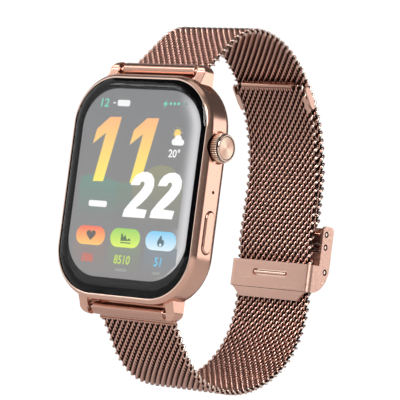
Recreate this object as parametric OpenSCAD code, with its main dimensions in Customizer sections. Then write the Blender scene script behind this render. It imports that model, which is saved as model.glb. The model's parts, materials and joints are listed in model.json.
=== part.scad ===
// Smartwatch on a closed wire-mesh strap.
// Frame: X runs from 9 o'clock to 3 o'clock (the crown side), Z from 6 o'clock to 12 o'clock,
// and the screen faces -Y. The origin is the centre of the flat sensor window on the back,
// where the watch rests on a wrist.

/* [Case] */
// Half of the case's width
case_hw = 20.2; // [19.8:0.1:21]
// Half of the case's height, without the lugs
case_hh = 25.8; // [25.6:0.1:26.5]
// Corner radius of the case seen from the front
case_r = 11.9; // [11.5:0.1:12.2]
// Height of the screen's crown above the sensor window
glass_top = 10.8; // [10.6:0.1:11.2]
// Height of the metal rim above the sensor window
rim_top = 10; // [9.9:0.1:10.1]
// Height of the frame's rear edge above the sensor window
frame_low = 1.4; // [1.3:0.05:1.5]
// Radius of the frame's rear edge
rear_round = 3; // [2.6:0.1:3.2]
// Radius of the frame's front edge
front_round = 1.3; // [1:0.1:1.4]

/* [Crown and button] */
// Height of the crown, button and microphone axis above the sensor window
side_axis = 5.9; // [5.8:0.05:6]
// Place of the crown along the case
crown_at = 10.4; // [9.8:0.1:10.8]
// Radius of the knurled crown
crown_r = 3.4; // [3.2:0.05:3.5]
// How far the crown presses in
crown_travel = 0.4; // [0.2:0.05:0.4]
// Place of the side button's middle along the case
button_at = -8.65; // [-9:0.05:-8.4]
// Length of the side button
button_len = 9.5; // [9:0.1:9.8]
// Width of the side button
button_w = 3.1; // [2.9:0.05:3.2]

/* [Strap] */
// Width of the mesh
strap_w = 22; // [21.6:0.1:22.2]
// Thickness of the mesh
mesh_t = 1.4; // [1.3:0.05:1.4]
// Distance between the middles of the two overlapping mesh layers
layer_step = 1.65; // [1.65:0.05:1.75]
// Depth of the spring bars' axis behind the screen side, as a Y value
bar_y = -4.6; // [-4.7:0.05:-4.5]
// Height of the spring bars' axis above and below the case's middle
bar_z = 27.5; // [27.4:0.05:27.6]
// Radius of a spring bar's barrel
bar_r = 0.75; // [0.7:0.05:0.75]

/* [Clasp] */
// Outer half width of the clasp
clasp_hw = 11.95; // [11.9:0.05:12.1]
// Thickness of the clasp's sheet
clasp_t = 0.7; // [0.6:0.05:0.7]
// Y of the clasp's inner face
clasp_y = 45.5; // [45.3:0.05:45.5]
// Radius of the three bars between the clasp's ears
pin_r = 0.45; // [0.4:0.05:0.45]

/* [Hidden] */
$fn = 64;
eps = 0.01;

rose = [0.80, 0.58, 0.48];
rose_dark = [0.62, 0.42, 0.34];
steel = [0.72, 0.73, 0.75];

// Case depths, measured from the sensor window towards the screen
glass_low = 8.95;
seat_low = 8.8;
cavity_low = 3.2;
ledge_low = 2.1;
cover_low = 0.7;
wall = 1.9;
glass_inset = 1.25;
glass_hw = case_hw - glass_inset;
glass_hh = case_hh - 1.15;
glass_r = 10.8;
cavity_hw = case_hw - wall;
cavity_hh = case_hh - 2.2;
rear_hw = case_hw - rear_round - 0.4;
rear_hh = case_hh - rear_round - 0.4;
rear_r = 8.5;
screw_x = 12.7;
screw_y = 18.3;

// Lugs and spring bars
lug_in = 11.5;
lug_out = 13.9;
tip_r = 0.4;
tube_r = 1.5;
tube_bore = bar_r + 0.05;
tube_half = 10.4;
lug_recess = 2.55;
lug_round = 2.3;
lug_top = 29.1;

// The upper strap's middle line from its lug, as [straight length, bend radius, bend angle].
// A positive bend turns towards the wrist.
upper_start = [-1.479, 28.36];
upper_heading = 44;
upper_path = [[11.6, 0, 0], [0, 14.8, 44], [0, 25.8, 31], [0, 36.2, 59], [7.3, 0, 0]];
// The lower strap's middle line starts at the tail, inside the upper strap's last bend.
tail_turn = 12.5;
s_bend_len = 9;
s_bend = 2 * atan(layer_step / s_bend_len);
s_bend_r = s_bend_len / 2 / sin(s_bend);
tail_open = path_end(upper_start, upper_heading,
    [upper_path[0], upper_path[1], upper_path[2], [0, upper_path[3][1], tail_turn]]);
tail_heading = tail_open[1];
tail_start = tail_open[0] - layer_step * normal(tail_heading);
inner_low = -5.5;
inner_top = path_end(tail_start, tail_heading, [[0, upper_path[3][1] - layer_step, 59 - tail_turn]])[0][1];
lower_path = [[0, upper_path[3][1] - layer_step, 59 - tail_turn], [inner_top - inner_low, 0, 0],
    [0, s_bend_r, -s_bend], [0, s_bend_r, s_bend], [5.7, 0, 0], [0, 20.8, 55], [0, 31.5, 44],
    [0, 20, 41], [8.9, 0, 0]];
lower_end = path_end(tail_start, tail_heading, lower_path);

// Clasp bars, as [Y, Z], from the free end of the lid to its hinge
hook_at = [50.3, -2.56];
lock_at = [50.5, -5.64];
lid_at = [51.4, -11.6];
ear_arc_at = [46.75, -10.5];
ear_arc_r = 6.4;
ear_top = -0.6;
ear_arm_y = 48.95;
ear_notch_z = -10.3;
ear_low = -16.9;
clasp_bend = 1.15;
lid_hw = clasp_hw - clasp_t - 0.2;
lid_t = 0.7;
lid_y = ear_arc_at[0] + ear_arc_r - lid_t;
knuckle_gap = 0.05;
floor_y = 49;

function normal(h) = [-sin(h), cos(h)];
function ahead(h) = [cos(h), sin(h)];
function bend_centre(p, h, r, turn) = p - sign(turn) * r * normal(h);
function path_step(p, h, s) = s[1] == 0 ? [p + s[0] * ahead(h), h]
    : [bend_centre(p, h, s[1], s[2]) + sign(s[2]) * s[1] * normal(h - s[2]), h - s[2]];
function path_end(p, h, segs, i = 0) = i == len(segs) ? [p, h]
    : let (n = path_step(p, h, segs[i])) path_end(n[0], n[1], segs, i + 1);

// Turns a drawing of the case, screen up, into the watch's own frame
module case_space() {
    rotate([90, 0, 0]) children();
}

// Extrudes an outline drawn in Y and Z along X
module along_x(x0, x1) {
    translate([x0, 0, 0]) rotate([90, 0, 90]) linear_extrude(x1 - x0) children();
}

// A round rod or bore along X at a point given as [Y, Z]
module rod(x0, x1, at, r) {
    translate([x0, at[0], at[1]]) rotate([0, 90, 0]) cylinder(r = r, h = x1 - x0);
}

module rounded_rect(hw, hh, r) {
    square([2 * (hw - r), 2 * hh], center = true);
    square([2 * hw, 2 * (hh - r)], center = true);
    for (sx = [-1, 1], sy = [-1, 1]) translate([sx * (hw - r), sy * (hh - r)]) circle(r = r);
}

module slab(hw, hh, r, z0, z1) {
    translate([0, 0, z0]) linear_extrude(z1 - z0) rounded_rect(hw, hh, r);
}

module ring_slab(hw, hh, r, w, z0, z1) {
    difference() {
        slab(hw, hh, r, z0, z1);
        slab(hw - w, hh - w, r - w, z0 - 1, z1 + 1);
    }
}

// Sweeps an edge outline, drawn in distance from the corner's axis and height, around a rounded rectangle
module swept_edge(hw, hh, r, z0, z1) {
    translate([r - hw, r - hh, z0]) cube([2 * (hw - r), 2 * (hh - r), z1 - z0]);
    for (k = [0 : 3]) {
        sx = k == 0 || k == 3 ? 1 : -1;
        sy = k < 2 ? 1 : -1;
        run = k % 2 == 0 ? 2 * (hh - r) : 2 * (hw - r);
        translate([sx * (hw - r), sy * (hh - r), 0]) rotate(90 * k) {
            rotate_extrude(angle = 90) children();
            rotate([90, 0, 0]) linear_extrude(run) children();
        }
    }
}

module frame_edge() {
    square_z(0, case_r, frame_low + rear_round, rim_top - front_round);
    square_z(0, case_r - front_round, frame_low + rear_round, rim_top);
    square_z(0, case_r - rear_round, frame_low, rim_top);
    translate([case_r - front_round, rim_top - front_round]) circle(r = front_round);
    translate([case_r - rear_round, frame_low + rear_round]) circle(r = rear_round);
}

module square_z(u0, u1, z0, z1) {
    translate([u0, z0]) square([u1 - u0, z1 - z0]);
}

module lug_outline() {
    polygon([[-7.9, 23.2], [-6.2, 28], [-3.05, 28.2], [-2.95, 23.2]]);
    translate([bar_y, bar_z]) circle(r = 1.62);
}

// One lug, its outer top corner rounded as seen from the front
module lug() {
    intersection() {
        along_x(lug_in, lug_out) lug_outline();
        rotate([90, 0, 0]) linear_extrude(10) {
            square_z(lug_in - 1, lug_out + 1, 20, lug_top - lug_round);
            square_z(lug_in - 1, lug_out - lug_round, lug_top - lug_round, lug_top + 1);
            translate([lug_out - lug_round, lug_top - lug_round]) circle(r = lug_round);
        }
    }
}

module obround(length, width) {
    square([width, length - width], center = true);
    for (s = [-1, 1]) translate([0, s * (length - width) / 2]) circle(r = width / 2);
}

// The side button's outline, extruded along X in the watch's frame
module button_block(x0, x1, length, width) {
    along_x(x0, x1) translate([-side_axis, button_at]) obround(length, width);
}

module case_frame() {
    speaker_holes = 5;
    color(rose) difference() {
        union() {
            case_space() swept_edge(case_hw, case_hh, case_r, frame_low, rim_top) frame_edge();
            for (sx = [0, 1], sz = [0, 1]) mirror([0, 0, sz]) mirror([sx, 0, 0]) lug();
        }
        case_space() {
            slab(glass_hw + 0.05, glass_hh + 0.05, glass_r + 0.05, seat_low, rim_top + 1);
            slab(cavity_hw, cavity_hh, 10, cavity_low, seat_low + eps);
            slab(rear_hw, rear_hh, rear_r, frame_low - 1, ledge_low);
            difference() {
                slab(rear_hw - 1.2, rear_hh - 1.2, rear_r - 1.2, ledge_low - eps, cavity_low + eps);
                for (sx = [-1, 1], sy = [-1, 1]) translate([sx * screw_x, sy * screw_y, ledge_low])
                    cylinder(r = 1.6, h = cavity_low - ledge_low);
            }
            for (sx = [-1, 1], sy = [-1, 1]) translate([sx * screw_x, sy * screw_y, ledge_low - eps])
                cylinder(r = 0.5, h = 1);
            ring_slab(rear_hw - 0.3, rear_hh - 0.3, rear_r - 0.3, 0.5, ledge_low - eps, ledge_low + 0.35);
        }
        for (sz = [-1, 1]) {
            rod(-lug_in, lug_in, [bar_y, sz * bar_z], lug_recess);
            rod(-lug_out + 0.8, lug_out - 0.8, [bar_y, sz * bar_z], tip_r + 0.05);
        }
        rod(cavity_hw - 1, case_hw + 1, [-side_axis, crown_at], 1.6);
        rod(case_hw - 0.9, case_hw + 1, [-side_axis, crown_at], crown_r + 0.35);
        rod(cavity_hw - 1, case_hw + 1, [-side_axis, 0.4], 0.4);
        button_block(cavity_hw - 1, case_hw + 1, button_len + 0.4, button_w + 0.4);
        for (i = [0 : speaker_holes - 1])
            rod(-case_hw - 1, -cavity_hw + 1, [-side_axis, 3.2 + 2 * i], 0.45);
    }
}

module cover_glass() {
    edge = 2.8;
    arc = 4.8;
    color([0.05, 0.05, 0.06]) case_space()
        swept_edge(glass_hw, glass_hh, glass_r, glass_low, glass_top) intersection() {
            square_z(0, glass_r, glass_low, glass_top);
            union() {
                square_z(0, glass_r - edge, glass_low, glass_top);
                translate([glass_r - edge, glass_top - arc]) circle(r = arc);
            }
        }
}

module glass_gasket() {
    color([0.1, 0.1, 0.1]) case_space() ring_slab(glass_hw, glass_hh, glass_r, 1.2, seat_low, glass_low);
}

module display_panel() {
    color([0.45, 0.46, 0.46]) case_space() slab(17.65, 22.9, 9.3, 8, glass_low);
}

module mid_frame() {
    color(steel) case_space() difference() {
        slab(cavity_hw - 0.1, cavity_hh - 0.1, 9.9, 7.2, 7.9);
        translate([12.2, crown_at - 3.2, 7]) cube([8, 6.4, 1]);
        translate([13.2, button_at - 6, 7]) cube([6, 12, 1]);
        for (sy = [-1, 1]) translate([-6, sy * 15, 7]) cylinder(r = 2, h = 1);
        translate([-14, -4, 7]) cube([5, 8, 1]);
    }
}

module main_board() {
    color([0.08, 0.3, 0.16]) case_space() difference() {
        intersection() {
            slab(cavity_hw - 0.4, cavity_hh - 0.4, 9.6, 6, 6.8);
            translate([-20, 1.4, 5]) cube([31.8, 30, 3]);
        }
        translate([-14.5, 19, 5]) cylinder(r = 0.6, h = 3);
        translate([9.5, 3.4, 5]) cylinder(r = 0.6, h = 3);
    }
}

module processor_shield() {
    color(steel) case_space() difference() {
        translate([-12, 6, 4.5]) cube([17.5, 13, 1.5]);
        translate([-11.8, 6.2, 4.7]) cube([17.1, 12.6, 1.3 + eps]);
    }
}

module battery() {
    color([0.75, 0.76, 0.78]) case_space() translate([-1.6, -9.5, 0]) slab(13.4, 10, 2, 3.5, 7.1);
}

module vibration_motor() {
    color(steel) case_space() translate([9.9, 17, 3.5]) {
        cylinder(r = 3.6, h = 1.9);
        cylinder(r = 2.2, h = 2.4);
    }
}

module speaker() {
    color([0.15, 0.15, 0.16]) case_space() difference() {
        translate([-17.8, 2.2, 3.5]) cube([4.8, 10.4, 2.4]);
        translate([-18, 3, 4.2]) cube([1.4, 8.8, 1]);
    }
}

module microphone() {
    color([0.7, 0.62, 0.4]) case_space() difference() {
        translate([16.1, -1.3, 4.9]) cube([2, 3.2, 2]);
        translate([17.3, 0.4, side_axis]) rotate([0, 90, 0]) cylinder(r = 0.3, h = 1);
    }
}

module crown_tube() {
    color(steel) difference() {
        union() {
            rod(17.4, case_hw - 0.95, [-side_axis, crown_at], 1.58);
            rod(17.4, cavity_hw - 0.05, [-side_axis, crown_at], 2);
        }
        rod(17, case_hw + 1, [-side_axis, crown_at], 0.95);
    }
}

module crown_encoder() {
    color([0.12, 0.12, 0.13]) case_space() difference() {
        translate([12, crown_at - 2.4, 4.4]) cube([3.8, 4.8, 2.7]);
        translate([13.4, crown_at - 1.5, 4]) cube([2, 3, 3.5]);
        translate([13, crown_at, side_axis]) rotate([0, 90, 0]) cylinder(r = 1.1, h = 5);
    }
}

module button_switches() {
    color([0.14, 0.14, 0.15]) case_space() {
        translate([13.4, button_at - 4.4, 4.6]) cube([1, 8.8, 2.5]);
        for (s = [-1, 1]) translate([14.4, button_at + s * 2.8 - 1, side_axis - 1]) cube([0.7, 2, 2]);
    }
}

module back_edge() {
    edge = 0.6;
    r = rear_r - 0.1;
    square_z(0, r, cover_low + edge, ledge_low);
    square_z(0, r - edge, cover_low, ledge_low);
    translate([r - edge, cover_low + edge]) circle(r = edge);
}

module back_cover() {
    color([0.16, 0.15, 0.16]) case_space() difference() {
        swept_edge(rear_hw - 0.1, rear_hh - 0.1, rear_r - 0.1, cover_low, ledge_low) back_edge();
        translate([0, 0, cover_low - 1]) cylinder(r = 10.55, h = 1.8);
        translate([0, 0, cover_low - 1]) cylinder(r = 9.6, h = 4);
        for (sx = [-1, 1], sy = [-1, 1]) translate([sx * screw_x, sy * screw_y, cover_low - 1]) {
            cylinder(r = 0.55, h = 3);
            cylinder(r = 1, h = 1.55);
        }
        for (sx = [-1, 1]) translate([2.5 * sx, -15.5, cover_low - 1]) cylinder(r = 0.9, h = 3);
    }
}

module back_gasket() {
    color([0.1, 0.1, 0.1]) case_space()
        ring_slab(rear_hw - 0.35, rear_hh - 0.35, rear_r - 0.35, 0.4, ledge_low, ledge_low + 0.33);
}

module back_screws() {
    color(steel) case_space() for (sx = [-1, 1], sy = [-1, 1])
        translate([sx * screw_x, sy * screw_y, 0]) difference() {
            union() {
                translate([0, 0, cover_low + 0.05]) cylinder(r = 0.95, h = 0.5);
                translate([0, 0, cover_low + 0.3]) cylinder(r = 0.49, h = 2);
            }
            translate([-1, -0.15, cover_low - 0.5]) cube([2, 0.3, 0.75]);
        }
}

module sensor_window() {
    dome = 1.3;
    color([0.05, 0.05, 0.06]) case_space() rotate_extrude() {
        square([10.5 - dome, 1.5]);
        intersection() {
            translate([10.5 - dome, dome]) circle(r = dome);
            square([10.5, dome]);
        }
        translate([0, dome]) square([10.5, 0.2]);
    }
}

module sensor_board() {
    color([0.08, 0.3, 0.16]) case_space() {
        translate([0, 0, 1.9]) cylinder(r = 9.3, h = 0.8);
        for (a = [0 : 90 : 270]) rotate(a) translate([4.6, -1, 1.55]) cube([2, 2, 0.36]);
        translate([-1, -1, 1.55]) cube([2, 2, 0.36]);
    }
}

module charging_pins() {
    color([0.85, 0.68, 0.35]) case_space() for (sx = [-1, 1])
        translate([2.5 * sx, -15.5, cover_low - 0.1]) cylinder(r = 0.88, h = 2.3);
}

module charging_magnets() {
    color(steel) case_space() for (sx = [-1, 1]) translate([7 * sx, -16.2, 2.12]) cylinder(r = 1.8, h = 1.2);
}

module spring_bar_barrels() {
    half = 11.1;
    color(steel) for (sz = [-1, 1]) difference() {
        rod(-half, half, [bar_y, sz * bar_z], bar_r);
        rod(0.6 - half, half - 0.6, [bar_y, sz * bar_z], 0.55);
        rod(-half - 1, half + 1, [bar_y, sz * bar_z], tip_r + 0.02);
    }
}

module spring_bar_tips() {
    color(steel) for (sz = [-1, 1], sx = [-1, 1]) {
        rod(sx > 0 ? 8.5 : -12.9, sx > 0 ? 12.9 : -8.5, [bar_y, sz * bar_z], tip_r);
        rod(sx > 0 ? 8.5 : -9.1, sx > 0 ? 9.1 : -8.5, [bar_y, sz * bar_z], 0.52);
    }
}

module spring_bar_springs() {
    color(steel) for (sz = [-1, 1]) difference() {
        rod(-8.45, 8.45, [bar_y, sz * bar_z], 0.5);
        rod(-9, 9, [bar_y, sz * bar_z], 0.32);
    }
}

module crown_stem() {
    color(steel) difference() {
        union() {
            rod(15.6, 20.7, [-side_axis, crown_at], 0.9);
            rod(16.5, 16.95, [-side_axis, crown_at], 1.4);
        }
        rod(15, 21, [-side_axis, crown_at], 0.55);
    }
}

module crown_outline() {
    teeth = 44;
    depth = 0.22;
    polygon([for (i = [0 : 4 * teeth - 1]) let (r = crown_r - (i % 4 < 2 ? 0 : depth), a = i * 90 / teeth)
        [r * cos(a), r * sin(a)]]);
}

module crown_knob() {
    color(rose) difference() {
        union() {
            translate([19.85, -side_axis, crown_at]) rotate([0, 90, 0])
                linear_extrude(0.35) circle(r = crown_r - 0.25);
            translate([20.2, -side_axis, crown_at]) rotate([0, 90, 0]) linear_extrude(1.65) crown_outline();
            rod(21.85, 22, [-side_axis, crown_at], crown_r - 0.45);
        }
        rod(19, 21, [-side_axis, crown_at], 1.1);
        rod(20.9, 23, [-side_axis, crown_at], 0.5);
    }
}

module crown_cap() {
    shaft_end = 15.2;
    cap_r = 3.1;
    translate([0, -side_axis, crown_at]) rotate([0, 90, 0]) color(rose) {
        rotate_extrude() polygon([[0, 22], [cap_r, 22], [cap_r, 22.3], [cap_r - 0.2, 22.5],
            [cap_r - 0.45, 22.5], [cap_r - 0.6, 22.38], [0, 22.38]]);
        translate([0, 0, shaft_end]) cylinder(r = 0.5, h = 22.1 - shaft_end);
    }
}

module encoder_wheel() {
    color(steel) rod(14.2, 15.2, [-side_axis, crown_at], 1.2);
}

module side_button() {
    color(rose) {
        button_block(18.4, case_hw - 0.25, button_len, button_w);
        button_block(case_hw - 0.25, case_hw - 0.1, button_len - 0.3, button_w - 0.3);
        button_block(17.75, 18.0, button_len + 1, button_w + 0.8);
        button_block(18.0, 18.4, button_len - 1, button_w - 1);
    }
}

module button_posts() {
    color(steel) for (s = [-1, 1]) rod(15.45, 17.75, [-side_axis, button_at + s * 2.8], 0.6);
}

// Points along a path, at a distance d from its middle line, every few degrees of a bend
function path_points(p, h, segs, d, i = 0) = i == len(segs) ? [p + d * normal(h)]
    : let (seg = segs[i], n = path_step(p, h, seg), steps = max(1, ceil(abs(seg[2]) / 2.5)))
        concat([for (k = [0 : steps - 1]) let (m = path_step(p, h, [seg[0], seg[1], seg[2] * k / steps]))
            (k == 0 ? p : m[0]) + d * normal(k == 0 ? h : m[1])], path_points(n[0], n[1], segs, d, i + 1));

// A strip of the strap along a path, drawn in Y and Z
module path_strip(p, h, segs, t) {
    far = path_points(p, h, segs, t / 2);
    near = path_points(p, h, segs, -t / 2);
    polygon(concat(far, [for (i = [len(near) - 1 : -1 : 0]) near[i]]));
}

// A ring sector of middle radius r and thickness t, counterclockwise from an angle
module bend(r, t, from, sweep) {
    reach = 2 * r + t;
    intersection() {
        difference() {
            circle(r = r + t / 2);
            circle(r = r - t / 2);
        }
        rotate(from) polygon([[0, 0], [reach, 0], [reach, reach * tan(sweep / 2)],
            [reach * cos(sweep), reach * sin(sweep)] + reach * tan(sweep / 2) * [sin(sweep), -cos(sweep)],
            [reach * cos(sweep), reach * sin(sweep)]]);
    }
}

// A strap's tube and clamp at a lug: mesh_at is where the mesh begins and h its heading
module end_tube(mesh_at, h, side) {
    clamp_len = 2.4;
    color(rose) difference() {
        union() {
            rod(-tube_half, tube_half, [bar_y, side * bar_z], tube_r);
            along_x(0.2 - strap_w / 2, strap_w / 2 - 0.2) translate(mesh_at) rotate(h) {
                translate([-clamp_len, side > 0 ? -mesh_t / 2 : -mesh_t / 2 - 0.15])
                    square([clamp_len, mesh_t + 0.15]);
            }
        }
        rod(-12, 12, [bar_y, side * bar_z], tube_bore);
    }
}

module upper_end_tube() {
    end_tube(upper_start, upper_heading, 1);
}

module lower_end_tube() {
    end_tube(lower_end[0], lower_end[1] + 180, -1);
}

module upper_mesh() {
    color(rose_dark) along_x(-strap_w / 2, strap_w / 2)
        path_strip(upper_start, upper_heading, upper_path, mesh_t);
}

module lower_mesh() {
    color(rose_dark) along_x(-strap_w / 2, strap_w / 2)
        path_strip(tail_start, tail_heading, lower_path, mesh_t);
}

// The upper strap's end: a tongue on the mesh's outer face and a hook over the clasp's first bar
module strap_hook() {
    mesh_out = path_end(upper_start, upper_heading, upper_path)[0] + [mesh_t / 2, 0];
    inner = pin_r + 0.12;
    outer = inner + 0.55;
    color(rose) along_x(-9.5, 9.5) {
        square_z(mesh_out[0], mesh_out[0] + 0.6, hook_at[1], mesh_out[1] + 3);
        difference() {
            translate(hook_at) circle(r = outer);
            translate(hook_at) circle(r = inner);
            translate(hook_at) rotate(-25) translate([0, -3]) square(3);
            translate(hook_at - [3, 3]) square(3);
        }
    }
}

module tail_bar() {
    half = 7.3;
    color(rose) along_x(-half, half) translate(tail_start) rotate(tail_heading) translate([-1, -0.1]) {
        circle(r = 0.75);
        translate([0, -0.65]) square([1, 1.3]);
    }
}

// Two cheeks that keep the tail in line with the strap it lies under
module tail_keepers() {
    cheek = 0.4;
    gap = 0.2;
    half = strap_w / 2;
    radius = upper_path[3][1] - layer_step;
    at = bend_centre(tail_start, tail_heading, radius, 1);
    low = radius - mesh_t / 2 - 0.3;
    high = radius + layer_step + 0.15;
    sweep = 9.5;
    from = tail_heading + 90 - 0.4 - sweep;
    color(rose) for (s = [-1, 1]) {
        along_x(s > 0 ? half + gap : -half - gap - cheek, s > 0 ? half + gap + cheek : -half - gap)
            translate(at) bend((low + high) / 2, high - low, from, sweep);
        along_x(s > 0 ? half : -half - gap, s > 0 ? half + gap : -half)
            translate(at) bend(radius - 0.15, mesh_t + 0.3, from, sweep);
        along_x(s > 0 ? half - 1.6 : -half, s > 0 ? half : 1.6 - half)
            translate(at) bend(low + 0.1, 0.2, from, sweep);
    }
}

module ear_outline() {
    top_r = 1.2;
    mid = ear_arc_at[0];
    outer = mid + ear_arc_r;
    arm_top = ear_top - top_r;
    square_z(clasp_y + clasp_bend, mid, ear_low, ear_notch_z);
    intersection() {
        translate(ear_arc_at) circle(r = ear_arc_r);
        square_z(mid, outer + 1, ear_low - 1, ear_arc_at[1]);
    }
    square_z(mid, outer, ear_arc_at[1], ear_notch_z);
    square_z(ear_arm_y, outer, ear_notch_z, arm_top);
    square_z(ear_arm_y + top_r, outer - top_r, arm_top, ear_top);
    for (y = [ear_arm_y + top_r, outer - top_r]) translate([y, arm_top]) circle(r = top_r);
}

// The U of the clasp seen from above: a plate with two rounded corners into the ears
module channel_outline() {
    difference() {
        union() {
            translate([-clasp_hw + clasp_bend, clasp_y]) square([2 * (clasp_hw - clasp_bend), clasp_t]);
            for (s = [-1, 1]) translate([s * (clasp_hw - clasp_bend), clasp_y + clasp_bend]) circle(r = clasp_bend);
        }
        for (s = [-1, 1]) translate([s * (clasp_hw - clasp_bend), clasp_y + clasp_bend])
            circle(r = clasp_bend - clasp_t);
        translate([-clasp_hw - 1, clasp_y + clasp_bend]) square([2 * clasp_hw + 2, 3]);
        translate([-clasp_hw + clasp_bend, clasp_y + clasp_t]) square([2 * (clasp_hw - clasp_bend), 3]);
    }
}

// The clasp's lip seen from the side, bent towards the strap
module lip_outline() {
    tilt = 12;
    length = 2.4;
    front = [clasp_y, ear_low];
    tip = front + length * [sin(tilt), -cos(tilt)];
    polygon([front, [clasp_y, ear_low + 0.4], [clasp_y + clasp_t, ear_low + 0.4],
        [clasp_y + clasp_t, ear_low + clasp_t * tan(tilt / 2)], tip + clasp_t * [cos(tilt), sin(tilt)], tip]);
}

module clasp_body() {
    slot_at = -13.1;
    ear_x = clasp_hw - clasp_t;
    corner_x = clasp_hw - clasp_bend;
    lip_half = 8.7;
    color(rose) difference() {
        union() {
            translate([0, 0, ear_low]) linear_extrude(ear_notch_z - ear_low) channel_outline();
            for (s = [-1, 1]) along_x(s > 0 ? ear_x : -clasp_hw, s > 0 ? clasp_hw : -ear_x) ear_outline();
            along_x(-corner_x, corner_x) lip_outline();
            along_x(-ear_x, ear_x) {
                square_z(floor_y, floor_y + 0.4, -16, -7);
                translate(ear_arc_at) bend(ear_arc_r - 0.3, 0.6, -68, 32);
            }
        }
        translate([0, clasp_y + 1, slot_at]) rotate([90, 0, 0]) linear_extrude(2) rotate(90) obround(10.3, 1.7);
        translate([-5.6, floor_y - 0.5, -14.9]) cube([11.2, 1.5, 3.6]);
        for (s = [0, 1]) mirror([s, 0, 0]) translate([0, clasp_y + 2, 0]) rotate([90, 0, 0]) linear_extrude(3)
            polygon([[corner_x, ear_low], [lip_half, ear_low - 2.35], [lip_half, -21], [13, -21], [13, ear_low]]);
        for (at = [hook_at, lock_at, lid_at]) rod(-15, 15, at, pin_r);
        for (at = [hook_at, lock_at, lid_at], s = [-1, 1])
            rod(s > 0 ? clasp_hw - 0.2 : -15, s > 0 ? 15 : 0.2 - clasp_hw, at, 0.72);
    }
}

module grip_bar() {
    color(steel) {
        rod(-4.7, 4.7, [clasp_y + 0.4, -13.1], 0.45);
        along_x(-6.2, 6.2) square_z(clasp_y + clasp_t, clasp_y + clasp_t + 0.25, -14.6, -11.6);
    }
}

module cross_bar(at) {
    half = clasp_hw - 0.05;
    color(steel) rod(-half, half, at, pin_r);
}

module hook_bar() { cross_bar(hook_at); }
module lock_pin() { cross_bar(lock_at); }
module lid_pin() { cross_bar(lid_at); }

module clasp_lid() {
    knuckle_r = lid_y + lid_t - lid_at[0];
    lid_top = -0.9;
    color(rose) difference() {
        union() {
            along_x(-lid_hw, lid_hw) square_z(lid_y, lid_y + lid_t, lid_at[1], lid_top);
            for (s = [-1, 1]) rod(s > 0 ? 6.2 : -lid_hw, s > 0 ? lid_hw : -6.2, lid_at, knuckle_r);
        }
        rod(-15, 15, lid_at, pin_r + knuckle_gap);
    }
}

// Two spring claws under the lid that snap over the lock pin
module lid_claws() {
    claw = 0.35;
    color(steel) for (s = [-1, 1]) along_x(s * 8.2 - 1, s * 8.2 + 1) {
        square_z(lock_at[0] - 0.3, lid_y, lock_at[1] + pin_r + 0.2, lock_at[1] + pin_r + 0.2 + claw);
        square_z(lock_at[0] - 0.3, lid_y, lock_at[1] - pin_r - 0.25 - claw, lock_at[1] - pin_r - 0.25);
        square_z(lid_y - 0.3, lid_y, lock_at[1] - pin_r - 0.3, lock_at[1] + pin_r + 0.3);
    }
}

// The lever that presses the mesh against the grip bar
module lock_plate() {
    half = 5.2;
    low = -14.4;
    color(steel) difference() {
        union() {
            rod(-half, half, lock_at, 0.85);
            along_x(-half, half) {
                square_z(floor_y + 0.6, floor_y + 1.05, low, lock_at[1]);
                square_z(floor_y, floor_y + 0.7, low, low + 2.6);
            }
        }
        rod(-15, 15, lock_at, pin_r + knuckle_gap);
    }
}

case_frame();
cover_glass();
glass_gasket();
display_panel();
mid_frame();
main_board();
processor_shield();
battery();
vibration_motor();
speaker();
microphone();
crown_tube();
crown_encoder();
button_switches();
back_cover();
back_gasket();
back_screws();
sensor_window();
sensor_board();
charging_pins();
charging_magnets();
spring_bar_barrels();
spring_bar_tips();
spring_bar_springs();
crown_stem();
crown_knob();
crown_cap();
encoder_wheel();
side_button();
button_posts();
upper_end_tube();
upper_mesh();
strap_hook();
lower_end_tube();
lower_mesh();
tail_bar();
tail_keepers();
clasp_body();
grip_bar();
hook_bar();
lock_pin();
lid_pin();
clasp_lid();
lid_claws();
lock_plate();
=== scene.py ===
import json
import math

import bmesh
import bpy
import numpy as np
from mathutils import Matrix, Vector


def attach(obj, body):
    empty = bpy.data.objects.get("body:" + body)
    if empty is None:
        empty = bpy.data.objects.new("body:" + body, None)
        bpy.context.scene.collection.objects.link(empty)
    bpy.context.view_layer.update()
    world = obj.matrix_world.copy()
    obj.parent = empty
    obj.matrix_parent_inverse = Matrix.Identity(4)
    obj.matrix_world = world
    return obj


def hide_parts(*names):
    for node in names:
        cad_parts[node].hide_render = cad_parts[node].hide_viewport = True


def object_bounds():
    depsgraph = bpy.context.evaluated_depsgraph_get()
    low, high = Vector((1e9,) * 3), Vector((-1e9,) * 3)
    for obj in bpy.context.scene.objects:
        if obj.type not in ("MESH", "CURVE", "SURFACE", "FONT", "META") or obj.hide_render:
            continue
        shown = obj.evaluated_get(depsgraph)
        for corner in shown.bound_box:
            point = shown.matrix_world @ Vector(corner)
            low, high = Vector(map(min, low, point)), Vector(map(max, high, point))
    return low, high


MM = 0.001
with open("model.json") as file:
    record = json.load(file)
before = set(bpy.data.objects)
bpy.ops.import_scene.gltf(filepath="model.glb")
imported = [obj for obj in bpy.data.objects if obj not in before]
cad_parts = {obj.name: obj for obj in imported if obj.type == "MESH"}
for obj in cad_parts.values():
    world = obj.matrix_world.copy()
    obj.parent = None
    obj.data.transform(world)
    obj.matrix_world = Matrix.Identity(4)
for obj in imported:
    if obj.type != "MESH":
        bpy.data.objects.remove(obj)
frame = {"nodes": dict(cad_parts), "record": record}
cad_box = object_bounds()
NODES = frame["nodes"]
BODIES = frame["record"]["behaviour"]["bodies"]
BODY_OF = {node: body for body, nodes in BODIES.items() for node in nodes}
SLOT_OF = {part["node"]: part["material_slot"] for part in frame["record"]["subparts"]}


# ---------------------------------------------------------------- materials


def srgb(r, g, b):
    """A colour given as 0 to 255 screen values, as linear light."""
    out = []
    for v in (r, g, b):
        v /= 255
        out.append(v / 12.92 if v <= 0.04045 else ((v + 0.055) / 1.055) ** 2.4)
    return tuple(out)


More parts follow.
